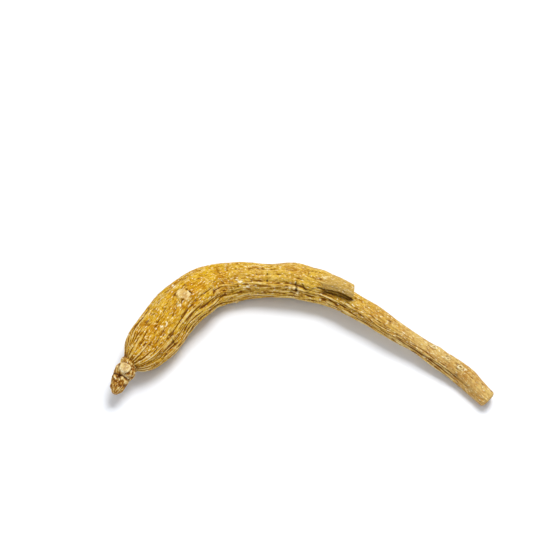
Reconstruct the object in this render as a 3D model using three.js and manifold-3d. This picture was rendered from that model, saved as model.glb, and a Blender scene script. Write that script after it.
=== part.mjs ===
// A dried ginseng root lying on a table, in millimetres, +Z up.
// It grew as one piece, so it is one solid: a thick curved taproot that runs on as a long leg,
// the short neck that carried the stems, the stump of a second leg, and the scars left by stems and rootlets.
// The origin is the bottom centre of its bounding box, and the neck points towards -X.

import * as THREE from 'three';
import { mergeVertices } from 'three/addons/utils/BufferGeometryUtils.js';
import Module from 'manifold-3d';

const wasm = await Module();
wasm.setup();

// Driving dimensions. A place is a distance along the taproot's line from the tip of the neck.
// An angle goes round the root in radians: it is 0 on top and grows towards +Y on the body.

// The line of the taproot from the tip of the neck to beyond the cut end of the leg.
// Each station is [x, y, height of the underside above the table, radius].
// A negative height presses the root flat against the table: its belly, the crown of its arch and the leg's end.
const TAPROOT = [
  [-69.1, -28.2, 5.8, 1.3],
  [-68.6, -26.7, 4.7, 2.5],
  [-67.9, -24.6, 4.5, 3.0],
  [-67.2, -22.5, 4.6, 3.3],
  [-66.2, -20.4, 4.4, 3.8],
  [-65.1, -18.6, 4.6, 3.6],
  [-64.3, -17.1, 5.2, 3.2],
  [-61.7, -14.1, 2.6, 6.1],
  [-58.9, -9.9, 0.3, 8.1],
  [-55.3, -4.4, -0.5, 9.0],
  [-51.2, 2.3, 0.1, 9.1],
  [-47.2, 8.2, 0.5, 9.3],
  [-42.6, 13.8, 0.5, 9.1],
  [-37.2, 19.4, 0.1, 8.2],
  [-29.8, 23.5, -0.6, 7.6],
  [-21.2, 24.7, 0.0, 7.0],
  [-11.8, 24.6, 0.9, 6.5],
  [-3.0, 23.7, 1.6, 6.6],
  [5.0, 21.0, 2.1, 5.9],
  [11.2, 18.1, 2.5, 5.0],
  [19.0, 13.0, 3.0, 4.5],
  [27.0, 6.9, 3.4, 4.2],
  [35.8, -0.1, 3.4, 3.7],
  [44.4, -6.4, 2.8, 3.2],
  [52.6, -12.5, 1.5, 3.4],
  [58.7, -17.5, 0.2, 3.7],
  [63.5, -22.6, -0.5, 3.7],
  [67.3, -27.5, -0.5, 3.4],
  [71.5, -32.9, 0.0, 3.2],
];

// The stump of the second leg leaves the taproot at its fork and rises over the long leg.
const STUMP = [
  [-3.5, 24.6, 2.8, 5.0],
  [6.2, 22.4, 6.0, 4.4],
  [10.3, 20.1, 8.8, 3.4],
  [15.4, 16.6, 11.4, 2.5],
  [19.6, 13.1, 12.7, 2.2],
  [23.2, 10.1, 13.2, 2.1],
];

// Flat cut ends: a point of the cut on the limb's line, and the way that it faces.
const LEG_CUT = { at: [68.6, -29.1, 3], facing: [0.7, -0.67, -0.25] };
const STUMP_CUT = { at: [19.8, 13.4, 15], facing: [0.98, -0.15, -0.13] };
// The edge is worn away all round the leg's cut end, in slanting cuts: the limb's radius there, how much of it is
// worn away, how steep the cuts are, and how many there are.
const WORN_EDGE = { radius: 3.3, bevel: 0.7, steepness: 1.4, cuts: 10 };

// Long folds in the skin: how many run round the root, their depth, how far they drift round it,
// the lengths over which they drift to and fro and over which they fade in and out, and where that starts.
const FOLDS = [
  { count: 5, depth: 0.2, drift: 0.8, wave: 61, fade: 77, phase: 0 },
  { count: 9, depth: 0.25, drift: 1.1, wave: 47, fade: 59, phase: 1.7 },
  { count: 15, depth: 0.3, drift: 1.4, wave: 38, fade: 48, phase: 3.4 },
];
const FADING = 0.8; // share of a fold's depth that comes and goes
const FULL_FOLD_RADIUS = 7; // the folds are shallower where the root is thinner than this
const SHOULDER = { from: 10, to: 17, neck: 0.3 }; // the neck has only a share of the folds, which deepen here

// Slow swellings that keep the outline from being too even.
const SWELLINGS = [
  { height: 0.2, wave: 33, turns: 2, phase: 0 },
  { height: 0.14, wave: 18, turns: -1, phase: 1 },
];

// Rings that squeeze (-) or swell (+) the neck and the shoulder: [place, height, half width].
const NECK_RINGS = [
  [3.1, -0.2, 0.6],
  [6.3, -0.2, 0.6],
  [11.2, -0.15, 0.5],
  [12.1, 0.4, 0.45],
  [13.1, -0.35, 0.45],
];

// Notches across the top of the neck, where one year's growth ends and the next begins:
// [place, angle, half width along the root, half width as an angle, depth].
const NOTCHES = [
  [3.1, -0.2, 0.5, 0.9, 0.5],
  [6.3, -0.35, 0.6, 0.95, 0.9],
];

// Gutters run along the root: the places where one starts and ends, its angle at the start,
// how far it turns by the end, its half width as an angle, and its depth.
const GUTTERS = [
  { from: 103.7, to: 122.5, angle: -0.85, turn: 0.8, width: 0.3, depth: 1.9 }, // the crevice under the stump
  { from: 92, to: 132, angle: -1.35, turn: 0.35, width: 0.12, depth: 0.6 }, // a strand at the root of the leg
  { from: 96, to: 136, angle: -1.9, turn: 0.35, width: 0.13, depth: 0.6 }, // another
  { from: 136, to: 184, angle: -1.5, turn: 0.45, width: 0.2, depth: 0.6 }, // rolls the leg's edge into a cord
];

// Scars: [place, angle, half width round the root, half width along it, height].
const SCARS = [
  [8.8, -0.2, 2.0, 1.7, 0.6], // the last stem, on the neck
  [44.6, -0.2, 2.7, 1.9, 0.4], // a side root cut off flush on the body
  [60.0, 2.5, 1.7, 1.9, 0.5], // one on the hidden side
];
// A scar's outline from its sunk foot over its raised rim to its dished face, in half widths and heights.
const SCAR_PROFILE = [[0, -3], [0.8, -3], [1.05, 0], [1, 0.8], [0.86, 1], [0.62, 0.7], [0, 0.5]];

// The hollow that an older stem left in the neck, and its half sizes across and deep.
const HOLLOW = { place: 4.8, angle: 0.1, across: 1.5, deep: 1.0 };

// Stubs of rootlets: [place, angle, radius].
const STUBS = [
  [40.6, -0.35, 0.8],
  [70.9, -2.2, 1.0],
  [88.0, 1.9, 0.9],
  [95.6, -1.1, 0.8],
  [97.2, -1.5, 0.8],
  [120.0, 2.9, 0.9],
  [137.0, 2.1, 0.8],
  [155.6, 0.35, 0.8],
  [162.3, 0.0, 0.8],
  [168.1, 0.0, 1.0],
];
const STUB_SINK = 0.35; // how deep a stub's centre lies under the skin, in radii

const TABLE = { length: 300, width: 200, thickness: 20 };

// How finely the curved surfaces are divided.
const STRETCHES = [ // of the taproot: [place where the stretch ends, distance between its cross-sections]
  [16.8, 0.7], // the neck
  [100, 3.1],
  [126, 1.6], // the fork
  [Infinity, 3.2],
];
const STUMP_STRETCHES = [[Infinity, 1.7]];
const TAPROOT_SIDES = 50;
const STUMP_SIDES = 26;
const SCAR_SIDES = 14;
const HOLLOW_SIDES = 12;
const STUB_SIDES = 7;
const ARC_DIVISIONS = 2000; // along a limb's line, to measure its length
const MERGE = 1e-4; // vertices closer than this are one

const UP = new THREE.Vector3(0, 0, 1);

// A closed triangle mesh as a solid that can be joined and cut.
function solidOf(geometry) {
  const bare = geometry.clone();
  bare.deleteAttribute('normal');
  bare.deleteAttribute('uv');
  const merged = mergeVertices(bare, MERGE);
  return new wasm.Manifold(new wasm.Mesh({
    numProp: 3,
    vertProperties: merged.attributes.position.array,
    triVerts: new Uint32Array(merged.index.array),
  }));
}

function geometryOf(solid) {
  const { vertProperties, triVerts } = solid.getMesh();
  const geometry = new THREE.BufferGeometry();
  geometry.setAttribute('position', new THREE.BufferAttribute(vertProperties, 3));
  geometry.setIndex(new THREE.BufferAttribute(triVerts, 1));
  geometry.computeVertexNormals();
  return geometry;
}

// A limb follows a smooth line through its stations.
// relief(s, angle, radius) is how far its skin stands out at place s, at an angle round it.
class Limb {
  constructor(stations, relief) {
    const centres = stations.map(([x, y, lift, radius]) => new THREE.Vector3(x, y, lift + radius));
    const girths = stations.map(([, , , radius]) => new THREE.Vector3(radius, 0, 0));
    this.line = new THREE.CatmullRomCurve3(centres, false, 'catmullrom');
    this.girth = new THREE.CatmullRomCurve3(girths, false, 'catmullrom');
    this.line.arcLengthDivisions = ARC_DIVISIONS;
    this.length = this.line.getLength();
    this.relief = relief;
  }

  // The centre of the cross-section at s, its radius, and its upward and sideways directions.
  section(s) {
    const t = this.line.getUtoTmapping(Math.min(Math.max(s / this.length, 0), 1));
    const along = this.line.getTangent(t);
    const top = UP.clone().addScaledVector(along, -UP.dot(along)).normalize();
    const side = top.clone().cross(along);
    return { centre: this.line.getPoint(t), radius: this.girth.getPoint(t).x, top, side };
  }

  // The point on the skin at s and angle.
  skin(s, angle) {
    const { centre, radius, top, side } = this.section(s);
    const reach = radius + this.relief(s, angle, radius);
    return centre.addScaledVector(top, reach * Math.cos(angle)).addScaledVector(side, reach * Math.sin(angle));
  }

  // Moves a small shape from the origin to the skin at s and angle: its X runs round the limb,
  // its Y points out of the skin and its Z runs along the limb.
  place(geometry, s, angle) {
    const { top, side } = this.section(s);
    const out = top.clone().multiplyScalar(Math.cos(angle)).addScaledVector(side, Math.sin(angle));
    const round = top.clone().multiplyScalar(-Math.sin(angle)).addScaledVector(side, Math.cos(angle));
    const frame = new THREE.Matrix4().makeBasis(round, out, round.clone().cross(out));
    return geometry.applyMatrix4(frame.setPosition(this.skin(s, angle)));
  }

  // The limb's mesh: a closed cylinder of radius 1 whose cross-sections are moved to the places given.
  mesh(places, sides) {
    const geometry = new THREE.CylinderGeometry(1, 1, 1, sides, places.length - 1);
    const position = geometry.attributes.position;
    for (let i = 0; i < position.count; i++) {
      const x = position.getX(i);
      const z = position.getZ(i);
      const row = Math.round((0.5 - position.getY(i)) * (places.length - 1));
      const s = places[row];
      const onAxis = Math.hypot(x, z) < 0.5;
      const moved = onAxis ? this.section(s).centre : this.skin(s, Math.atan2(x, z));
      position.setXYZ(i, moved.x, moved.y, moved.z);
    }
    return geometry;
  }
}

// The places of a limb's cross-sections, evenly spread over each stretch.
function placesAlong(length, stretches) {
  const places = [0];
  for (const [end, step] of stretches) {
    const start = places[places.length - 1];
    const span = Math.min(end, length) - start;
    const count = Math.ceil(span / step);
    for (let i = 1; i <= count; i++) places.push(start + (span * i) / count);
  }
  return places;
}

const total = (list, height) => list.reduce((sum, each) => sum + height(each), 0);
const wavesAt = (s, length) => (2 * Math.PI * s) / length;
const bell = (x, width) => Math.exp(-((x / width) ** 2));
const ramp = (share) => THREE.MathUtils.smoothstep(share, 0, 0.25);

// A fold has a rounded back and a sharp valley.
function fold(s, angle, { count, depth, drift, wave, fade, phase }) {
  const turn = drift * Math.sin(wavesAt(s, wave) + phase);
  const strength = 1 - 0.5 * FADING * (1 - Math.sin(wavesAt(s, fade) + 2 * angle + phase));
  return depth * strength * (2 * Math.abs(Math.sin((count * angle + turn) / 2)) - 1);
}

function swelling(s, angle, { height, wave, turns, phase }) {
  return height * Math.sin(wavesAt(s, wave) + turns * angle + phase);
}

// The wrinkled skin that every limb has.
function wrinkles(s, angle, radius) {
  const folds = total(FOLDS, (each) => fold(s, angle, each));
  const swellings = total(SWELLINGS, (each) => swelling(s, angle, each));
  return Math.min(radius / FULL_FOLD_RADIUS, 1) * (folds + swellings);
}

function ring(s, [place, height, width]) {
  return height * bell(s - place, width);
}

function notch(s, angle, [place, middle, along, across, depth]) {
  return -depth * bell(s - place, along) * bell(angle - middle, across);
}

function gutter(s, angle, { from, to, angle: start, turn, width, depth }) {
  const share = (s - from) / (to - from);
  return -depth * ramp(Math.min(share, 1 - share)) * bell(angle - start - turn * share, width);
}

function taprootRelief(s, angle, radius) {
  const { from, to, neck } = SHOULDER;
  const folded = neck + (1 - neck) * THREE.MathUtils.smoothstep(s, from, to);
  const rings = total(NECK_RINGS, (each) => ring(s, each));
  const notches = total(NOTCHES, (each) => notch(s, angle, each));
  const gutters = total(GUTTERS, (each) => gutter(s, angle, each));
  return folded * wrinkles(s, angle, radius) + rings + notches + gutters;
}

// A shallow plug whose foot is sunk into the skin.
function scar(limb, [place, angle, across, along, height]) {
  const outline = SCAR_PROFILE.map(([x, y]) => new THREE.Vector2(x, y));
  return limb.place(new THREE.LatheGeometry(outline, SCAR_SIDES).scale(across, height, along), place, angle);
}

function stub(limb, [place, angle, radius]) {
  const ball = new THREE.SphereGeometry(radius, STUB_SIDES, STUB_SIDES - 2);
  return limb.place(ball.translate(0, -STUB_SINK * radius, 0), place, angle);
}

function hollow(limb, { place, angle, across, deep }) {
  const ball = new THREE.SphereGeometry(1, HOLLOW_SIDES, HOLLOW_SIDES / 2);
  return limb.place(ball.scale(across, deep, across), place, angle);
}

// What is left of a solid behind a flat cut.
function cutEnd(solid, { at, facing }) {
  const plane = new THREE.Plane();
  plane.setFromNormalAndCoplanarPoint(new THREE.Vector3(...facing).normalize(), new THREE.Vector3(...at));
  return solid.trimByPlane(plane.normal.negate().toArray(), plane.constant);
}

// The slanting cuts that wear away the edge of a cut end.
function wornEdge({ at, facing }, { radius, bevel, steepness, cuts }) {
  const middle = new THREE.Vector3(...at);
  const out = new THREE.Vector3(...facing).normalize();
  const sideways = out.clone().cross(UP).normalize();
  return Array.from({ length: cuts }, (_, i) => {
    const spoke = sideways.clone().applyAxisAngle(out, (2 * Math.PI * i) / cuts);
    const edge = middle.clone().addScaledVector(spoke, radius - bevel);
    return { at: edge.toArray(), facing: spoke.addScaledVector(out, steepness).toArray() };
  });
}

function buildRoot() {
  const taproot = new Limb(TAPROOT, taprootRelief);
  const stump = new Limb(STUMP, wrinkles);

  let root = solidOf(taproot.mesh(placesAlong(taproot.length, STRETCHES), TAPROOT_SIDES));
  for (const each of [LEG_CUT, ...wornEdge(LEG_CUT, WORN_EDGE)]) root = cutEnd(root, each);
  root = root.add(cutEnd(solidOf(stump.mesh(placesAlong(stump.length, STUMP_STRETCHES), STUMP_SIDES)), STUMP_CUT));
  root = root.subtract(solidOf(hollow(taproot, HOLLOW)));
  for (const each of SCARS) root = root.add(solidOf(scar(taproot, each)));
  for (const each of STUBS) root = root.add(solidOf(stub(taproot, each)));

  // The table presses the three low places flat.
  const table = new THREE.BoxGeometry(TABLE.length, TABLE.width, TABLE.thickness);
  return geometryOf(root.subtract(solidOf(table.translate(0, 0, -TABLE.thickness / 2))));
}

const geometry = buildRoot();
geometry.computeBoundingBox();
const centre = geometry.boundingBox.getCenter(new THREE.Vector3());
geometry.translate(-centre.x, -centre.y, -geometry.boundingBox.min.z);

const skin = new THREE.MeshStandardMaterial({ color: 0xc89c4c, roughness: 0.8, metalness: 0 });
const root = new THREE.Mesh(geometry, skin);
root.name = 'ginseng_root';

const part = new THREE.Group();
part.add(root);

export default part;
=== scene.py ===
"""The looks of a dried ginseng root: a fine skin over the CAD solid, its material, light and camera.

The line, folds, gutters, scars and stubs of the root are the same named values as in the CAD source, in
millimetres. The skin is swept along them at a much finer pitch, with the small wrinkles, pits and marks
of a dried root added.
"""

import bpy
import numpy as np
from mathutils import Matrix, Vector


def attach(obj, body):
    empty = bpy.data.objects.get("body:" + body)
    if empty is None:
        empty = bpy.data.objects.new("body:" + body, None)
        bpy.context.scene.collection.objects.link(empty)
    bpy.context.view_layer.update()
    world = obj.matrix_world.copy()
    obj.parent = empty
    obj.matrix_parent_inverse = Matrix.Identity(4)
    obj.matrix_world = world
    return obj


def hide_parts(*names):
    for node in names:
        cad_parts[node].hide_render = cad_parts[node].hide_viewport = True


MM = 0.001
TURN = 2 * np.pi

# The root's driving dimensions, in millimetres. A place is a distance along the taproot's line from the
# tip of the neck. An angle goes round the root in radians: it is 0 on top and grows towards +Y on the
# body.

# Stations of the taproot's line: x, y, height of the underside above the table, radius.
TAPROOT = [
    (-69.1, -28.2, 5.8, 1.3),
    (-68.6, -26.7, 4.7, 2.5),
    (-67.9, -24.6, 4.5, 3.0),
    (-67.2, -22.5, 4.6, 3.3),
    (-66.2, -20.4, 4.4, 3.8),
    (-65.1, -18.6, 4.6, 3.6),
    (-64.3, -17.1, 5.2, 3.2),
    (-61.7, -14.1, 2.6, 6.1),
    (-58.9, -9.9, 0.3, 8.1),
    (-55.3, -4.4, -0.5, 9.0),
    (-51.2, 2.3, 0.1, 9.1),
    (-47.2, 8.2, 0.5, 9.3),
    (-42.6, 13.8, 0.5, 9.1),
    (-37.2, 19.4, 0.1, 8.2),
    (-29.8, 23.5, -0.6, 7.6),
    (-21.2, 24.7, 0.0, 7.0),
    (-11.8, 24.6, 0.9, 6.5),
    (-3.0, 23.7, 1.6, 6.6),
    (5.0, 21.0, 2.1, 5.9),
    (11.2, 18.1, 2.5, 5.0),
    (19.0, 13.0, 3.0, 4.5),
    (27.0, 6.9, 3.4, 4.2),
    (35.8, -0.1, 3.4, 3.7),
    (44.4, -6.4, 2.8, 3.2),
    (52.6, -12.5, 1.5, 3.4),
    (58.7, -17.5, 0.2, 3.7),
    (63.5, -22.6, -0.5, 3.7),
    (67.3, -27.5, -0.5, 3.4),
    (71.5, -32.9, 0.0, 3.2),
]

# The stump of the second leg.
STUMP = [
    (-3.5, 24.6, 2.8, 5.0),
    (6.2, 22.4, 6.0, 4.4),
    (10.3, 20.1, 8.8, 3.4),
    (15.4, 16.6, 11.4, 2.5),
    (19.6, 13.1, 12.7, 2.2),
    (23.2, 10.1, 13.2, 2.1),
]

CENTRE = (-0.16, 0.26)  # the middle of the CAD solid's box, which becomes the origin

# Flat cut ends: a point of the cut, the way that it faces, and how far its edge is worn away.
LEG_CUT = ((68.6, -29.1, 3.0), (0.7, -0.67, -0.25), 1.0)
STUMP_CUT = ((19.8, 13.4, 15.0), (0.98, -0.15, -0.13), 0.25)

# Long folds: how many lie round the root, depth, how far they drift round it, the length of one drift to
# and fro, the length over which they fade in and out, and where both start.
FOLDS = [
    (5, 0.2, 0.8, 61, 77, 0),
    (9, 0.25, 1.1, 47, 59, 1.7),
    (15, 0.3, 1.4, 38, 48, 3.4),
]
FADING = 0.8  # share of a fold's depth that comes and goes
FULL_FOLD_RADIUS = 7  # the folds are shallower where the root is thinner than this
SHOULDER = (10, 17)  # the folds deepen over this stretch
NECK_FOLDS = 0.3  # the share of their depth that they have on the neck

SWELLINGS = [(0.2, 33, 2, 0), (0.14, 18, -1, 1)]  # height, length, turns, start

# Rings round the neck and the shoulder: place, height, half width.
NECK_RINGS = [
    (3.1, -0.2, 0.6),
    (6.3, -0.2, 0.6),
    (11.2, -0.15, 0.5),
    (12.1, 0.4, 0.45),
    (13.1, -0.35, 0.45),
]

# Notches: place, angle, half width along the root, half width as an angle, depth.
NECK_NOTCHES = [(3.1, -0.2, 0.5, 0.9, 0.5), (6.3, -0.35, 0.6, 0.95, 0.9)]

# Gutters: from, to, angle at the start, how far it turns by the end, half width as an angle, depth.
GUTTERS = [
    (103.7, 122.5, -0.85, 0.8, 0.3, 1.9),
    (92, 132, -1.35, 0.35, 0.12, 0.6),
    (96, 136, -1.9, 0.35, 0.13, 0.6),
    (136, 184, -1.5, 0.45, 0.2, 0.6),
]
GUTTER_FADE = 0.25  # share of a gutter's length over which each end runs out

# Scars: place, angle, half width round the root, half width along it, height.
SCARS = [(8.8, -0.2, 2.0, 1.7, 0.6), (44.6, -0.2, 2.7, 1.9, 0.4), (60.0, 2.5, 1.7, 1.9, 0.5)]

# The hollow in the neck: place, angle, half width round the root, half width along it. Its wall rises
# between two distances from its middle, in half widths.
HOLLOW = (4.8, 0.1, 1.5, 1.5)
HOLLOW_DEPTH = 1.0
HOLLOW_WALL = (0.35, 1.1)

# Stubs of rootlets: place, angle, radius.
STUBS = [
    (40.6, -0.35, 0.8),
    (70.9, -2.2, 1.0),
    (88.0, 1.9, 0.9),
    (95.6, -1.1, 0.8),
    (97.2, -1.5, 0.8),
    (120.0, 2.9, 0.9),
    (137.0, 2.1, 0.8),
    (155.6, 0.35, 0.8),
    (162.3, 0.0, 0.8),
    (168.1, 0.0, 1.0),
]
STUB_HEIGHT = 0.6  # in radii

# What is only in this fine skin.

# Small wrinkles: cells of noise round the root, length of a cell, depth.
SIDE_WRINKLES = [(42, 14, 0.46), (74, 8, 0.28)]
TOP_WRINKLES = [(46, 5, 0.1), (84, 2.8, 0.1)]
LEG_WRINKLES = [(22, 12, 0.4), (40, 7, 0.3)]
NECK_LUMPS = [(9, 1.6, 0.16), (21, 1.1, 0.19), (36, 0.8, 0.2)]
CROSS_WRINKLES = [(9, 1.3, 0.05), (16, 0.9, 0.03)]
CROSS_SLANT = 3  # how far the wrinkles across the root slant along it, per radian
RIDGE_ROUNDING = 0.002  # how blunt the valleys between ridges are
RIDGE_LEVEL = 0.3  # the share of their depth that ridges are lowered by
WANDER = 0.12  # how far the wrinkles wander round the root, as an angle
WANDER_CELLS = (5, 13)  # cells of the noise that they wander with
CALM_TOP = 0.55  # the angle of the middle of the calm top
TOP_TO_SIDE = (0.95, 1.65)  # angles from there over which the top's wrinkles turn into the side's
TOP_FADING = 0.5  # share of the top's wrinkles that the side loses
HEAD = (18, 38)  # places over which the side's wrinkles leave the top
HEAD_WRINKLED = 0.85  # share of the side's wrinkles on top of the head
COLLAR = (11.6, 13.6)  # places over which the neck's lumps turn into wrinkles
THICK = (4.6, 6.2)  # radii over which the leg's wrinkles turn into the body's
LEG_CALM = 0.3  # share of the leg's wrinkles on top of the leg and on the stump
STRANDS_START = (94, 102)  # places over which the leg's lower wrinkles deepen to strands
STRANDS_END = (163, 178)  # places over which they calm down again
STRANDS_DEEPER = 0.9  # what the strands add to that share
FORM_SEEN = 0.15  # the share of the depth of folds and marks that colours the skin as wrinkles do
MARKS_SMOOTH = 0.6  # the share of the small wrinkles that a pale mark smooths away

# The noise, in rows of cells round the root.
NOISE_LENGTH = 220  # the length of line that it covers
NOISE_MARGIN = 4  # rows beyond that length
NOISE_START = 1.5  # rows before the line's start
NOISE_GAIN = 1.5
RAGGED_CELLS = (50, 1.1)  # cells round the root and length of a cell, for the ragged edges of marks
RAGGED_RADIUS = 9  # marks have less ragged edges where the root is thinner than this

# Seeds of the noise. A list of wrinkles or lumps also takes the seeds after its own.
SEEDS = {
    "scar": 5,
    "crack": 6,
    "stub": 7,
    "pit": 8,
    "fleck": 9,
    "neck line": 10,
    "wander": 20,
    "side": 21,
    "top": 24,
    "leg": 27,
    "cross": 30,
    "neck": 33,
    "stump wander": 40,
    "stump": 41,
    "stump cross": 43,
    "knot": 46,
}

# Lines across the neck: their places at three angles, half width, height, and their paint, which is pale
# or, below 0, dark.
NECK_LINE_ANGLES = (0.5, -0.3, -1.2)
NECK_LINE_ENDS = (-1.5, 0.9)  # angles beyond which a line stays at its place
NECK_LINES = [
    ((3.8, 2.5, 2.8), 0.25, -0.15, -0.8),
    ((6.0, 6.05, 6.2), 0.28, -0.15, -1.0),
    ((8.0, 6.9, 6.6), 0.3, 0.25, 0.85),
    ((11.5, 11.0, 10.7), 0.22, -0.1, -0.5),
    ((12.5, 12.0, 11.75), 0.3, 0.15, 0.3),
    ((13.25, 12.8, 12.5), 0.25, -0.2, -0.6),
]

# Small knobs, and two low swells on the leg: place, angle, radius, height.
KNOBS = [
    (5.4, 0.9, 0.9, 0.25),
    (10.2, -1.1, 0.8, 0.3),
    (12.4, 1.2, 0.9, 0.6),
    (19.5, -1.5, 1.1, 0.35),
    (157.0, 0.9, 2.0, 0.35),
    (172.5, 0.9, 3.4, 0.35),
]

# Short cracks across the skin: place, angle, half width along the root, half width as an angle, depth.
CRACKS = [
    (28.4, -1.2, 0.3, 0.3, 0.3),
    (55.9, -0.9, 0.25, 0.3, 0.2),
    (63.4, 0.1, 0.35, 0.25, 0.25),
    (76.4, 1.0, 0.3, 0.4, 0.3),
    (84.0, -0.3, 0.35, 0.12, 0.3),
    (84.2, -0.7, 0.3, 0.14, 0.4),
    (96.0, -0.8, 0.35, 0.12, 0.5),
    (96.6, -1.1, 0.35, 0.14, 0.5),
    (111.4, -1.9, 0.3, 0.4, 0.3),
    (130.4, 0.6, 0.25, 0.4, 0.25),
    (145.4, -0.6, 0.25, 0.3, 0.2),
]
CRACK_CELLS = (40, 3)  # cells of the noise that bends the cracks

# Short curved cuts: both ends as place and angle, how far the middle bows out as an angle, half width,
# depth, and how dark they are. Two lie beside the body's scar, one near the fork, and two lead into the
# stump's crevice, where their dark is painted shadow under the stump.
CURVED_CUTS = [
    ((42.1, -0.1), (42.2, -0.42), 0, 0.3, 0.1, 0.45),
    ((47.0, -0.1), (46.8, -0.45), 0, 0.3, 0.1, 0.45),
    ((98.6, -0.72), (100.9, -1.02), -0.12, 0.35, 0.2, 0.7),
    ((101.2, -1.2), (104.9, -0.6), 0.1, 0.4, 0.2, 0.5),
    ((104.9, -0.6), (119.0, -0.02), 0.1, 0.35, 0.3, 0.9),
]

# Pits that fallen rootlets left: place, angle, radius, depth.
PITS = [
    (29.9, -0.75, 0.5, 0.35),
    (40.2, -0.28, 0.5, 0.4),
    (94.4, -1.35, 0.5, 0.5),
    (96.7, -1.25, 0.5, 0.6),
    (98.4, -1.75, 0.5, 0.6),
    (155.6, 0.35, 0.45, 0.4),
    (162.3, 0.0, 0.45, 0.4),
    (168.1, 0.0, 0.5, 0.6),
    (168.8, -0.92, 0.6, 0.4),
]

# Pale flecks of rubbed skin with painted glints: place, angle, half width round the root, half width along
# it.
FLECKS = [
    (28.9, -0.38, 0.7, 0.5),
    (31.4, -0.42, 0.6, 0.5),
    (40.4, -0.42, 0.4, 0.4),
    (45.7, 0.36, 0.6, 0.9),
    (46.4, 0.58, 0.7, 0.6),
    (51.9, -0.98, 0.5, 0.5),
    (72.9, -0.73, 0.6, 1.0),
    (71.9, -0.6, 0.35, 0.9),
    (74.9, -1.0, 0.4, 1.6),
    (93.6, -1.1, 0.6, 0.4),
    (97.7, -1.35, 0.6, 0.4),
    (155.0, 0.55, 0.5, 0.5),
    (156.4, 0.4, 0.5, 0.4),
    (161.6, 0.05, 0.5, 0.4),
    (163.2, 0.15, 0.5, 0.3),
    (167.5, -0.15, 0.5, 0.4),
    (170.0, 0.1, 0.5, 0.7),
]

# On the stump, with places along its own line: a pale knot with its place, angle, and half widths round
# and along the stump, and a painted highlight along the lip over the crevice.
STUMP_KNOT = (15.8, -0.35, 1.0, 0.9)
LIP_ANGLE = -1.3
LIP_WIDTH = 0.13
LIP_START = (13, 17)  # places over which the lip begins to show
STUMP_START = 93.2  # the place on the taproot where the stump's line starts
STUMP_COLOURED = (10, 21)  # places over which the stump takes its own colour

# How finely the skin is divided.
TAPROOT_ROWS = 345
TAPROOT_COLUMNS = 214
STUMP_ROWS = 72
STUMP_COLUMNS = 110
DENSER = 0.35  # the columns stand closer by this share round the angle below
DENSE_ANGLE = -0.5
LINE_POINTS = 6000
TANGENT_REACH = 0.2  # a line's direction at a place is taken between two points this far before and after

# How widely the relief is blurred, so that what lies below the blurred relief is a hollow.
BLUR_ROWS = 3
BLUR_COLUMNS = 5
BLUR_PASSES = 2

# The ends of a limb, and where two limbs meet.
EDGE_ROWS = (0.8, 0.6, 0.45, 0.3, 0.18, 0.08, 0)  # shares of EDGE_LENGTH left before the cut
EDGE_LENGTH = 1.2
CAP_ROWS = 8
TIP_BULGE = 0.9  # how far a limb's rounded first end stands out
CUT_DISH = 0.4  # how deep the middle of a cut lies
CUT_DISH_WALL = (0.1, 0.7)  # where the dish slopes, as shares of the way from the cut's rim to its middle
CUT_REACH = 9  # the cross-sections turn towards the cut over this length
CUT_SEARCH = 200  # places that are tried to find where the skin meets the cut
CURVED_CUT_POINTS = 40
FILLET = 1.6  # how far apart two limbs are when their skins start to flow together
FILLET_POINTS = 160


def bell(x, width):
    return np.exp(-((x / width) ** 2))


def smoothstep(x, low, high):
    t = np.clip((x - low) / (high - low), 0, 1)
    return t * t * (3 - 2 * t)


def turned(angle):
    """An angle brought to between -pi and pi."""
    return (angle + np.pi) % TURN - np.pi


def unit(vectors):
    return vectors / np.linalg.norm(vectors, axis=-1, keepdims=True)


class Limb:
    """A smooth line through stations, a Catmull-Rom spline. It starts at a place on the taproot."""

    def __init__(self, stations, start=0):
        self.start = start
        x, y, lift, radius = np.array(stations).T
        knots = np.column_stack([x, y, lift + radius, radius])
        self.samples = self.spline(knots, np.linspace(0, len(knots) - 1, LINE_POINTS))
        steps = np.linalg.norm(np.diff(self.samples[:, :3], axis=0), axis=1)
        self.places = np.concatenate([[0], np.cumsum(steps)])
        self.length = self.places[-1]

    @staticmethod
    def spline(knots, t):
        around = np.vstack([2 * knots[0] - knots[1], knots, 2 * knots[-1] - knots[-2]])
        i = np.minimum(t.astype(int), len(knots) - 2)
        w = (t - i)[:, None]
        a, b, c, d = (around[i + k] for k in range(4))
        slope_b, slope_c = (c - a) / 2, (d - b) / 2
        square = (3 * (c - b) - 2 * slope_b - slope_c) * w**2
        return b + slope_b * w + square + (2 * (b - c) + slope_b + slope_c) * w**3

    def at(self, s):
        """The line's x, y, z and radius at places s."""
        return np.stack([np.interp(s, self.places, column) for column in self.samples.T], axis=-1)

    def section(self, s):
        """Centres, radii, and the directions along, up from and beside the line at places s."""
        here = self.at(s)
        along = unit(self.at(s + TANGENT_REACH)[..., :3] - self.at(s - TANGENT_REACH)[..., :3])
        top = unit(np.array([0.0, 0.0, 1.0]) - along[..., 2:] * along)
        return here[..., :3], here[..., 3], along, top, np.cross(top, along)


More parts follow.
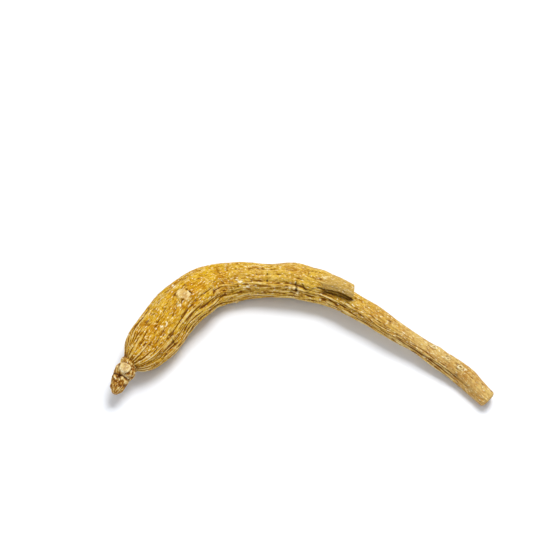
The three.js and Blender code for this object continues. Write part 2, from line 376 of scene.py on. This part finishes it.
def cells(s, angle, count, length, seed):
    """Smooth noise from about -1 to 1, in cells that are 1/count of a turn wide and a length long."""
    rng = np.random.default_rng(seed)
    rows = int(NOISE_LENGTH / length) + NOISE_MARGIN
    slopes = unit(rng.normal(size=(rows, count, 2)))
    u = (angle / TURN % 1) * count
    v = s / length + NOISE_START
    column, row = np.floor(u).astype(int), np.floor(v).astype(int)
    du, dv = u - column, v - row
    fade_u, fade_v = (x**3 * (x * (x * 6 - 15) + 10) for x in (du, dv))
    total = 0
    for i in (0, 1):
        for j in (0, 1):
            slope = slopes[np.clip(row + i, 0, rows - 1), (column + j) % count]
            height = slope[..., 0] * (du - j) + slope[..., 1] * (dv - i)
            total += height * np.where(j, fade_u, 1 - fade_u) * np.where(i, fade_v, 1 - fade_v)
    return NOISE_GAIN * total


def ridges(s, angle, wrinkles, seed):
    """Rounded ridges with sharp valleys between them."""
    height = 0
    for k, (count, length, depth) in enumerate(wrinkles):
        noise = cells(s, angle, count, length, seed + k)
        height = height + depth * (np.sqrt(noise**2 + RIDGE_ROUNDING) - RIDGE_LEVEL)
    return height


def lumps(s, angle, sizes, seed):
    """Soft bumps and dips of several sizes."""
    height = 0
    for k, (count, length, depth) in enumerate(sizes):
        height = height + depth * cells(s, angle, count, length, seed + k)
    return height


def long_folds(s, angle, radius):
    """The folds and swellings of the CAD source."""
    height = 0
    for count, depth, drift, wave, fade, phase in FOLDS:
        turn = drift * np.sin(TURN * s / wave + phase)
        strength = 1 - 0.5 * FADING * (1 - np.sin(TURN * s / fade + 2 * angle + phase))
        height = height + depth * strength * (2 * np.abs(np.sin((count * angle + turn) / 2)) - 1)
    for rise, wave, turns, phase in SWELLINGS:
        height = height + rise * np.sin(TURN * s / wave + turns * angle + phase)
    return np.minimum(radius / FULL_FOLD_RADIUS, 1) * height


def small_wrinkles(s, angle, radius):
    """The taproot's wrinkles: short and shallow on top, long and deep on the sides, strands on the leg."""
    bent = angle + WANDER * cells(s, angle, *WANDER_CELLS, SEEDS["wander"])
    lower = smoothstep(np.abs(turned(angle - CALM_TOP)), *TOP_TO_SIDE)
    side = np.maximum(lower, HEAD_WRINKLED * (1 - smoothstep(s, *HEAD)))
    long_ones = side * ridges(s, bent, SIDE_WRINKLES, SEEDS["side"])
    short_ones = (1 - TOP_FADING * side) * ridges(s, bent, TOP_WRINKLES, SEEDS["top"])
    strands = lower * smoothstep(s, *STRANDS_START) * (1 - smoothstep(s, *STRANDS_END))
    leg = (LEG_CALM + STRANDS_DEEPER * strands) * ridges(s, bent, LEG_WRINKLES, SEEDS["leg"])
    across = lumps(s + CROSS_SLANT * bent, angle, CROSS_WRINKLES, SEEDS["cross"])
    thick = np.maximum(smoothstep(radius, *THICK), 1 - smoothstep(s, *HEAD))
    wrinkles = thick * (long_ones + short_ones) + (1 - thick) * leg + across
    wrinkled = smoothstep(s, *COLLAR)
    return wrinkled * wrinkles + (1 - wrinkled) * lumps(s, angle, NECK_LUMPS, SEEDS["neck"])


def spot(s, angle, radius, place, middle, across, along):
    """The distance from a spot's middle, in its half widths."""
    return np.hypot(turned(angle - middle) * radius / across, (s - place) / along)


def ragged(s, angle, radius, amount, seed):
    """Noise that makes the edge of a mark ragged."""
    return amount * np.minimum(radius / RAGGED_RADIUS, 1) * cells(s, angle, *RAGGED_CELLS, seed)


def gutter(s, angle, start, end, first, turn, width):
    """How far a place is inside a gutter, from 0 outside to 1 in its middle."""
    share = (s - start) / (end - start)
    fade = smoothstep(np.minimum(share, 1 - share), 0, GUTTER_FADE)
    return fade * bell(turned(angle - first - turn * share), width)


def forms(s, angle, radius):
    """Heights of the rings, the notches, the hollow and the gutters on the taproot."""
    height = np.zeros_like(s)
    for place, rise, width in NECK_RINGS:
        height += rise * bell(s - place, width)
    for place, middle, along, across, depth in NECK_NOTCHES:
        height -= depth * bell(s - place, along) * bell(turned(angle - middle), across)
    height -= HOLLOW_DEPTH * (1 - smoothstep(spot(s, angle, radius, *HOLLOW), *HOLLOW_WALL))
    for *course, width, depth in GUTTERS:
        height -= depth * gutter(s, angle, *course, width)
    return height


# The marks on the taproot. Each of these functions yields, for one mark after another, its height and how
# pale and how dark it is painted. In them, away is the distance from a mark's middle, in its half widths,
# or in millimetres for a curved cut.


def neck_lines(s, angle, radius):
    for places, width, rise, paint in NECK_LINES:
        middle = np.polyval(np.polyfit(NECK_LINE_ANGLES, places, 2), np.clip(angle, *NECK_LINE_ENDS))
        line = bell(s - middle + ragged(s, angle, radius, 0.6, SEEDS["neck line"]), width)
        yield rise * line, max(paint, 0) * line, max(-paint, 0) * line


def knobs(s, angle, radius):
    for place, middle, size, rise in KNOBS:
        yield rise * bell(spot(s, angle, radius, place, middle, size, size), 1), 0, 0


def cracks(s, angle, radius):
    for place, middle, along, across, depth in CRACKS:
        bent = s - place + 0.25 * cells(s, angle, *CRACK_CELLS, SEEDS["crack"])
        dip = bell(bent, along) * bell(turned(angle - middle), across)
        yield -depth * dip, 0, 2.6 * depth * dip


def painted_shade(s, angle, radius):
    """Painted shade in the hollow and the gutters, which are forms already."""
    yield 0, 0, 0.4 * (1 - smoothstep(spot(s, angle, radius, *HOLLOW), 0.3, 1.0))
    for *course, width, depth in GUTTERS:
        yield 0, 0, 0.36 * depth * gutter(s, angle, *course, 0.7 * width)


def scars(s, angle, radius):
    """Raised discs with a dished middle, a pale rim and a dark edge."""
    for place, middle, across, along, rise in SCARS:
        away = spot(s, angle, radius, place, middle, across, along)
        away += ragged(s, angle, radius, 0.3, SEEDS["scar"])
        disc = 1 - smoothstep(away, 0.9, 1.15)
        dish = 1 - smoothstep(away, 0.3, 0.85)
        face = 1 - smoothstep(away, 0.9, 1.1)
        rim = bell(away - 0.88, 0.14)
        ring = bell(away - 0.45, 0.15)
        edge = bell(away - 1.2, 0.12)
        height = rise * (disc - 0.4 * dish + 0.25 * rim)
        yield height, 0.42 * face + 0.4 * rim, 0.2 * ring + 0.45 * edge


def stubs(s, angle, radius):
    """Small warts with a pale ring round a dark middle."""
    for place, middle, size in STUBS:
        away = spot(s, angle, radius, place, middle, size, size)
        away += ragged(s, angle, radius, 0.3, SEEDS["stub"])
        wart = 1 - smoothstep(away, 0.4, 1.25)
        ring = bell(away - 0.75, 0.25)
        edge = bell(away - 1.4, 0.2)
        core = bell(away, 0.4)
        yield STUB_HEIGHT * size * wart, 0.9 * ring, 0.5 * edge + 0.4 * core


def pits(s, angle, radius):
    for place, middle, size, depth in PITS:
        away = spot(s, angle, radius, place, middle, size, size)
        dip = bell(away + ragged(s, angle, radius, 0.5, SEEDS["pit"]), 0.9)
        yield -depth * dip, 0, 1.2 * depth * dip


def curved_cuts(s, angle, radius):
    share = np.linspace(0, 1, CURVED_CUT_POINTS)
    for start, end, bow, width, depth, darkness in CURVED_CUTS:
        places, middles = (first + share * (last - first) for first, last in zip(start, end))
        middles += bow * np.sin(np.pi * share)
        away = np.full_like(s, np.inf)
        for place, middle in zip(places, middles):
            away = np.minimum(away, np.hypot(s - place, radius * turned(angle - middle)))
        dip = bell(away, width)
        yield -depth * dip, 0, darkness * dip


def flecks(s, angle, radius):
    for place, middle, across, along in FLECKS:
        away = spot(s, angle, radius, place, middle, across, along)
        away += ragged(s, angle, radius, 1.6, SEEDS["fleck"])
        yield 0, 1 - smoothstep(away, 0.6, 1.1), 0


MARKS = (neck_lines, knobs, cracks, painted_shade, scars, stubs, pits, curved_cuts, flecks)


def marks(s, angle, radius):
    """The height of all marks together, and how pale and how dark they paint the skin, from 0 to 1."""
    height, pale, dark = (np.zeros_like(s) for _ in range(3))
    for kind in MARKS:
        for rise, light, shade in kind(s, angle, radius):
            height += rise
            pale += light
            dark += shade
    return height, np.clip(pale, 0, 1), np.clip(dark, 0, 1)


def blurred(field):
    """A field on the grid, blurred round the limb and along it."""
    for axis, reach, mode in ((1, BLUR_COLUMNS, "wrap"), (0, BLUR_ROWS, "edge")):
        for _ in range(BLUR_PASSES):
            pad = [(0, 0), (0, 0)]
            pad[axis] = (reach + 1, reach)
            total = np.cumsum(np.pad(field, pad, mode=mode), axis=axis)
            ahead = np.take(total, range(2 * reach + 1, total.shape[axis]), axis=axis)
            behind = np.take(total, range(total.shape[axis] - 2 * reach - 1), axis=axis)
            field = (ahead - behind) / (2 * reach + 1)
    return field


def skin(limb, s, angle, relief):
    """The points of a limb's skin at places s and angles, with what the relief paints."""
    centre, radius, _, top, side = limb.section(s)
    form, fine, pale, dark = relief(s, angle, radius)
    out = top * np.cos(angle)[..., None] + side * np.sin(angle)[..., None]
    points = centre + out * (radius + form + fine)[..., None]
    straight = np.stack([limb.start + s, radius * np.cos(angle), radius * np.sin(angle)], axis=-1)
    seen = fine + FORM_SEEN * form
    return {"points": points, "straight": straight, "seen": seen, "pale": pale, "dark": dark}


def taproot_relief(s, angle, radius):
    """Heights of the form and of the small wrinkles, and the paint."""
    height, pale, dark = marks(s, angle, radius)
    folds = (NECK_FOLDS + (1 - NECK_FOLDS) * smoothstep(s, *SHOULDER)) * long_folds(s, angle, radius)
    fine = small_wrinkles(s, angle, radius) * (1 - MARKS_SMOOTH * pale)
    return folds + forms(s, angle, radius) + height, fine, pale, dark


def stump_relief(s, angle, radius):
    """The same for the stump."""
    bent = angle + WANDER * cells(s, angle, *WANDER_CELLS, SEEDS["stump wander"])
    strands = LEG_CALM * ridges(s, bent, LEG_WRINKLES, SEEDS["stump"])
    across = lumps(s, angle, CROSS_WRINKLES, SEEDS["stump cross"])
    away = spot(s, angle, radius, *STUMP_KNOT) + ragged(s, angle, radius, 0.9, SEEDS["knot"])
    knot = 1 - smoothstep(away, 0.6, 1.1)
    # A painted highlight along the stump's lip over the crevice.
    lip = bell(turned(angle - LIP_ANGLE), LIP_WIDTH) * smoothstep(s, *LIP_START)
    pale = np.clip(0.8 * knot + 0.25 * lip, 0, 1)
    return long_folds(s, angle, radius), strands + across, pale, np.zeros_like(s)


def places_to_cut(limb, places, angles, relief, point, facing):
    """Places for every row and angle, which turn over CUT_REACH to end on the flat cut."""
    tried = np.linspace(limb.length - 2 * CUT_REACH, limb.length, CUT_SEARCH)
    s, angle = np.meshgrid(tried, angles, indexing="ij")
    beyond = (skin(limb, s, angle, relief)["points"] - point) @ facing
    end = s[np.argmax(beyond > 0, axis=0), range(len(angles))]
    start = end.min() - CUT_REACH
    share = np.clip((places - start) / (limb.length - start), 0, 1)[:, None]
    return np.where(share > 0, start + share * (end - start), places[:, None])


def worn(points, centres, point, facing, bevel):
    """Points with those close to the cut moved towards the limb's line, so that its edge is rounded."""
    before = np.clip((point - points) @ facing, 0, bevel)
    inset = bevel - np.sqrt(bevel**2 - (bevel - before) ** 2)
    return points + unit(centres - points) * inset[..., None]


def closed_end(grid, row, outwards, bulge):
    """Rows that close a limb's end, from its rim at a grid row to its middle, which bulges outwards."""
    rim = {name: field[row] for name, field in grid.items()}
    rows = {name: [] for name in grid}
    for share in np.linspace(0, 1, CAP_ROWS + 2)[1:]:
        for name, field in rim.items():
            rows[name].append(field * (1 - share) + field.mean(axis=0) * share)
        rows["points"][-1] = rows["points"][-1] + outwards * bulge(share)
    return {name: np.array(found) for name, found in rows.items()}


def limb_grid(limb, rows, columns, relief, cut):
    """The grid of a limb's skin with both ends closed, the far one by a flat cut."""
    point, facing, bevel = np.array(cut[0]), unit(np.array(cut[1])), cut[2]
    angles = np.linspace(-np.pi, np.pi, columns, endpoint=False)
    angles -= DENSER * np.sin(angles - DENSE_ANGLE)
    edge = limb.length - EDGE_LENGTH * np.array(EDGE_ROWS)
    places = np.concatenate([np.linspace(0, limb.length - EDGE_LENGTH, rows), edge])
    s = places_to_cut(limb, places, angles, relief, point, facing)
    angle = np.broadcast_to(angles, s.shape)
    grid = skin(limb, s, angle, relief)
    grid["points"] = worn(grid["points"], limb.at(s)[..., :3], point, facing, bevel)
    # What lies below the blurred relief is painted as shade, and what stands above it as a highlight.
    grid["hollow"] = grid["seen"] - blurred(grid["seen"])
    grid["cut"] = np.zeros_like(s)
    backwards = -limb.section(np.array(0.0))[2]
    tip = closed_end(grid, 0, backwards, lambda share: TIP_BULGE * np.sqrt(1 - (1 - share) ** 2))
    end = closed_end(grid, -1, facing, lambda share: -CUT_DISH * smoothstep(share, *CUT_DISH_WALL))
    end["cut"] = np.ones_like(end["cut"])
    return {name: np.concatenate([tip[name][::-1], grid[name], end[name]]) for name in grid}


def flowed_together(points, other):
    """Points of one limb's skin, moved out near the other limb, so that the two flow together."""
    flat = points.reshape(-1, 3)
    line = other.at(np.linspace(0, other.length, FILLET_POINTS))
    away = flat[:, None, :] - line[None, :, :3]
    gap = np.linalg.norm(away, axis=2) - line[None, :, 3]
    nearest = gap.argmin(axis=1)
    rows = np.arange(len(flat))
    near = np.clip(1 - np.abs(gap[rows, nearest]) / FILLET, 0, 1)
    push = unit(away[rows, nearest]) * (FILLET * near**2 / 4)[:, None]
    return (flat + push).reshape(points.shape)


ATTRIBUTES = ("hollow", "pale", "dark", "cut", "stump")  # what each point tells the material


def mesh_object(name, grid, material):
    """A closed mesh from a grid whose first and last rows are single points."""
    rows, columns = grid["points"].shape[:2]
    ring = np.arange(columns)
    after = (ring + 1) % columns
    index = 1 + np.arange((rows - 2) * columns).reshape(rows - 2, columns)
    last = (rows - 2) * columns + 1
    corners = [index[:-1, ring], index[1:, ring], index[1:, after], index[:-1, after]]
    quads = np.stack(corners, axis=-1).reshape(-1, 4)
    first_fan = [(0, a, b) for a, b in zip(index[0, ring], index[0, after])]
    last_fan = [(last, b, a) for a, b in zip(index[-1, ring], index[-1, after])]

    def spread(field):
        inner = field[1:-1].reshape(-1, *field.shape[2:])
        return np.concatenate([field[:1, 0], inner, field[-1:, 0]])

    mesh = bpy.data.meshes.new(name)
    mesh.from_pydata(spread(grid["points"]).tolist(), [], quads.tolist() + first_fan + last_fan)
    for attribute in ATTRIBUTES:
        made = mesh.attributes.new(attribute, "FLOAT", "POINT")
        made.data.foreach_set("value", spread(grid[attribute]).astype(np.float32))
    made = mesh.attributes.new("straight", "FLOAT_VECTOR", "POINT")
    made.data.foreach_set("vector", spread(grid["straight"]).astype(np.float32).ravel())
    mesh.materials.append(material)
    made = bpy.data.objects.new(name, mesh)
    bpy.context.scene.collection.objects.link(made)
    return made


def joined(body, limb):
    """The body with the limb fused on."""
    union = body.modifiers.new("union", "BOOLEAN")
    union.operation = "UNION"
    union.solver = "MANIFOLD"
    union.object = limb
    graph = bpy.context.evaluated_depsgraph_get()
    fused = body.evaluated_get(graph)
    mesh = bpy.data.meshes.new_from_object(fused, preserve_all_data_layers=True, depsgraph=graph)
    body.modifiers.clear()
    body.data = mesh
    bpy.data.objects.remove(limb)
    return body


def root_skin(material):
    """The whole root as one fine mesh, in metres, in the place of the CAD solid."""
    taproot, stump = Limb(TAPROOT), Limb(STUMP, STUMP_START)
    body = limb_grid(taproot, TAPROOT_ROWS, TAPROOT_COLUMNS, taproot_relief, LEG_CUT)
    branch = limb_grid(stump, STUMP_ROWS, STUMP_COLUMNS, stump_relief, STUMP_CUT)
    body["stump"] = np.zeros_like(body["cut"])
    branch["stump"] = smoothstep(branch["straight"][..., 0] - STUMP_START, *STUMP_COLOURED)
    for grid, other in ((body, stump), (branch, taproot)):
        points = flowed_together(grid["points"], other)
        points[..., 2] = np.maximum(points[..., 2], 0)
        grid["points"] = (points - (*CENTRE, 0)) * MM
    piece = joined(mesh_object("root_skin", body, material), mesh_object("root_stump", branch, material))
    piece.data.shade_smooth()
    return piece


# Colours in sRGB from 0 to 255.
OCHRE = (216, 171, 26)
HONEY = (196, 136, 0)
GOLD = (232, 190, 62)
STRAW = (230, 200, 112)
AMBER = (166, 106, 0)
CREASE_SHADE = (114, 62, 0)
PIT_AND_SHADE = (58, 26, 4)
CREAM = (242, 222, 166)
RUBBED_AND_GLINT = (252, 244, 218)
NECK = (168, 110, 42)
LEG = (214, 182, 114)
LEG_BROWN = (186, 138, 74)
STUMP_SKIN = (204, 168, 94)
CUT_FACE = (150, 98, 40)

# Noises on the skin laid out straight: cells per millimetre along the root, up and sideways, detail and
# roughness.
NOISES = {
    "blotch": ((0.13, 0.13, 0.13), 3, 0.6),
    "patch": ((0.3, 0.45, 0.45), 3, 0.6),
    "streak": ((0.4, 1.7, 1.7), 3, 0.7),
    "speck": ((0.8, 2.4, 2.4), 2, 0.6),
    "grain": ((0.8, 2.2, 2.2), 4, 0.65),
}

# Layers of paint from the lowest to the highest: the field that the layer follows, the value where it
# starts, the value where it is fullest, how much it covers there, and its colour.
BODY_LAYERS = [
    ("blotch", 0.38, 0.62, 1.0, HONEY),
    ("patch", 0.52, 0.72, 0.4, STRAW),
    ("place", 50.0, 15.0, 0.7, HONEY),
    ("place", 58.0, 82.0, 0.3, STRAW),
    ("streak", 0.52, 0.59, 0.65, GOLD),
    ("streak", 0.465, 0.39, 0.7, AMBER),
    ("speck", 0.44, 0.37, 0.75, AMBER),
]
LEG_LAYERS = [
    ("patch", 0.4, 0.55, 1.0, LEG),
    # On the leg's lower, near side the paint turns browner: painted shade over the brown of its strands.
    ("sideways", -0.6, -2.4, 0.6, LEG_BROWN),
]
LEG_PAINTED = (117.0, 155.0, 0.8)  # the places over which the leg's paint comes in, and its share
UPPER_LAYERS = [
    ("stump", 0.0, 1.0, 0.7, STUMP_SKIN),
    ("place", 14.0, 11.0, 0.8, NECK),
    # Specks: pale crumbs of skin, and in the palest of them near-white painted glints.
    ("speck", 0.58, 0.64, 0.85, CREAM),
    ("speck", 0.64, 0.7, 0.8, RUBBED_AND_GLINT),
    # Painted highlights on the ridges, which stand above the blurred relief, and painted shade in the
    # valleys below it.
    ("hollow", 0.02, 0.08, 0.6, STRAW),
    ("hollow", 0.09, 0.18, 0.7, CREAM),
    ("hollow", -0.02, -0.08, 0.94, CREASE_SHADE),
    ("cut", 0.0, 1.0, 0.8, CUT_FACE),
    ("pale", 0.0, 1.0, 0.82, CREAM),
    # The palest marks turn near white: pale skin, and on the flecks painted glints.
    ("pale", 0.8, 1.0, 0.8, RUBBED_AND_GLINT),
    # Dark marks such as pits, cracks, lines and stub middles, and the painted shade in the hollow, the
    # gutters and the stump's crevice.
    ("dark", 0.0, 1.0, 0.9, PIT_AND_SHADE),
]

SKIN_ROUGHNESS = 0.62
SKIN_SHINE = 0.08
BUMP_STRENGTH = 0.8
BUMP_HEIGHT = 0.8  # millimetres


def linear(colour):
    """An sRGB colour from 0 to 255 as linear light."""
    share = np.array(colour) / 255
    return (*np.where(share <= 0.04045, share / 12.92, ((share + 0.055) / 1.055) ** 2.4), 1)


class Nodes:
    """Short ways to make and link a material's nodes."""

    def __init__(self, material):
        material.use_nodes = True
        self.tree = material.node_tree
        self.shader = self.tree.nodes["Principled BSDF"]

    def link(self, source, target):
        self.tree.links.new(source, target)

    def attribute(self, name, output="Fac"):
        node = self.tree.nodes.new("ShaderNodeAttribute")
        node.attribute_name = name
        return node.outputs[output]

    def noise(self, vector, factors, detail, roughness):
        """Noise of a vector stretched by the factors."""
        stretch = self.tree.nodes.new("ShaderNodeMapping")
        stretch.inputs["Scale"].default_value = factors
        self.link(vector, stretch.inputs["Vector"])
        node = self.tree.nodes.new("ShaderNodeTexNoise")
        node.inputs["Scale"].default_value = 1
        node.inputs["Detail"].default_value = detail
        node.inputs["Roughness"].default_value = roughness
        self.link(stretch.outputs["Vector"], node.inputs["Vector"])
        return node.outputs["Fac"]

    def ramp(self, value, low, high, most):
        """From 0 where the value is at low to the most where it is at high. High may be the lesser one."""
        node = self.tree.nodes.new("ShaderNodeMapRange")
        node.interpolation_type = "SMOOTHSTEP"
        node.inputs["From Min"].default_value = low
        node.inputs["From Max"].default_value = high
        node.inputs["To Max"].default_value = most
        self.link(value, node.inputs["Value"])
        return node.outputs["Result"]

    def mix(self, share, first, second):
        """The first colour, or at a share of 1 the second."""
        node = self.tree.nodes.new("ShaderNodeMix")
        node.data_type = "RGBA"
        self.link(share, node.inputs["Factor"])
        for name, value in (("A_Color", first), ("B_Color", second)):
            socket = next(found for found in node.inputs if found.identifier == name)
            if isinstance(value, tuple):
                socket.default_value = linear(value)
            else:
                self.link(value, socket)
        return next(found for found in node.outputs if found.identifier == "Result_Color")

    def painted(self, colour, layers, fields):
        """A colour under layers of paint."""
        for field, start, fullest, most, paint in layers:
            colour = self.mix(self.ramp(fields[field], start, fullest, most), colour, paint)
        return colour


def root_material():
    """Dry skin: mottled ochre, painted shade in the valleys, painted highlights on the ridges, dull ends,
    brown cuts.
    """
    material = bpy.data.materials.new("ginseng_skin")
    nodes = Nodes(material)
    straight = nodes.attribute("straight", "Vector")
    axes = nodes.tree.nodes.new("ShaderNodeSeparateXYZ")
    nodes.link(straight, axes.inputs["Vector"])
    fields = {"place": axes.outputs["X"], "sideways": axes.outputs["Z"]}
    for name in ATTRIBUTES:
        fields[name] = nodes.attribute(name)
    for name, (factors, detail, roughness) in NOISES.items():
        fields[name] = nodes.noise(straight, factors, detail, roughness)

    body = nodes.painted(OCHRE, BODY_LAYERS, fields)
    leg = nodes.painted(LEG_BROWN, LEG_LAYERS, fields)
    skin_colour = nodes.mix(nodes.ramp(fields["place"], *LEG_PAINTED), body, leg)
    colour = nodes.painted(skin_colour, UPPER_LAYERS, fields)
    nodes.link(colour, nodes.shader.inputs["Base Color"])

    bump = nodes.tree.nodes.new("ShaderNodeBump")
    bump.inputs["Strength"].default_value = BUMP_STRENGTH
    bump.inputs["Distance"].default_value = BUMP_HEIGHT * MM
    nodes.link(fields["grain"], bump.inputs["Height"])
    nodes.link(bump.outputs["Normal"], nodes.shader.inputs["Normal"])
    nodes.shader.inputs["Roughness"].default_value = SKIN_ROUGHNESS
    nodes.shader.inputs["Specular IOR Level"].default_value = SKIN_SHINE
    return material


# The view of the photograph.
ELEVATION = np.radians(50)
LENS = 100
SENSOR = 36
DISTANCE = 592.2
AIM = (-13.24, 37.64, 0.0)
CLIP = (0.01, 20)  # metres

# The soft light of the studio: a lamp's place and size in metres, and its power.
KEY = ((0.25, 0.35, 1.15), 0.6, 12)
FILL = ((-0.5, -0.9, 0.9), 1.2, 2.6)
WORLD_STRENGTH = 0.55
FLOOR_REACH = 4.0  # metres from the root to the floor's edges
FLOOR_COLOUR = (0.86, 0.89, 0.94, 1)
FLOOR_ROUGHNESS = 0.9
FLOOR_SHINE = 0.1


def add_camera():
    camera = bpy.data.objects.new("camera", bpy.data.cameras.new("camera"))
    bpy.context.scene.collection.objects.link(camera)
    camera.data.lens = LENS
    camera.data.sensor_width = SENSOR
    camera.data.clip_start, camera.data.clip_end = CLIP
    back = Vector((0, -np.cos(ELEVATION), np.sin(ELEVATION)))
    camera.location = (Vector(AIM) + DISTANCE * back) * MM
    camera.rotation_euler = (np.pi / 2 - ELEVATION, 0, 0)
    bpy.context.scene.camera = camera


def add_light(name, place, size, power):
    """A square soft light at a place in metres, turned to the root."""
    lamp = bpy.data.lights.new(name, "AREA")
    lamp.size = size
    lamp.energy = power
    light = bpy.data.objects.new(name, lamp)
    light.location = place
    light.rotation_euler = (-Vector(place)).to_track_quat("-Z", "Y").to_euler()
    bpy.context.scene.collection.objects.link(light)


def add_floor():
    mesh = bpy.data.meshes.new("floor")
    corners = [(x * FLOOR_REACH, y * FLOOR_REACH, 0) for x, y in ((-1, -1), (1, -1), (1, 1), (-1, 1))]
    mesh.from_pydata(corners, [], [(0, 1, 2, 3)])
    material = bpy.data.materials.new("floor")
    shader = Nodes(material).shader
    shader.inputs["Base Color"].default_value = FLOOR_COLOUR
    shader.inputs["Roughness"].default_value = FLOOR_ROUGHNESS
    shader.inputs["Specular IOR Level"].default_value = FLOOR_SHINE
    mesh.materials.append(material)
    floor = bpy.data.objects.new("floor", mesh)
    bpy.context.scene.collection.objects.link(floor)


def add_world():
    world = bpy.data.worlds.new("studio")
    world.use_nodes = True
    background = world.node_tree.nodes["Background"]
    background.inputs["Color"].default_value = (1, 1, 1, 1)
    background.inputs["Strength"].default_value = WORLD_STRENGTH
    bpy.context.scene.world = world


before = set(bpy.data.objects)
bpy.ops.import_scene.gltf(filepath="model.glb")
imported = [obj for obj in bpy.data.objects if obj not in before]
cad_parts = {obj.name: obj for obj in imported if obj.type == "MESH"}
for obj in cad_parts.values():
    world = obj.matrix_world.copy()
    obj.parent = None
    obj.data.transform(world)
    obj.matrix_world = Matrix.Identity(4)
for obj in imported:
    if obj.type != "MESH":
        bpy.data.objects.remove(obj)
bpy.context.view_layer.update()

root = root_skin(root_material())
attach(root, "root")
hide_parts("ginseng_root")

add_floor()
add_world()
add_light("key", *KEY)
add_light("fill", *FILL)
add_camera()
bpy.context.scene.view_settings.view_transform = "Standard"
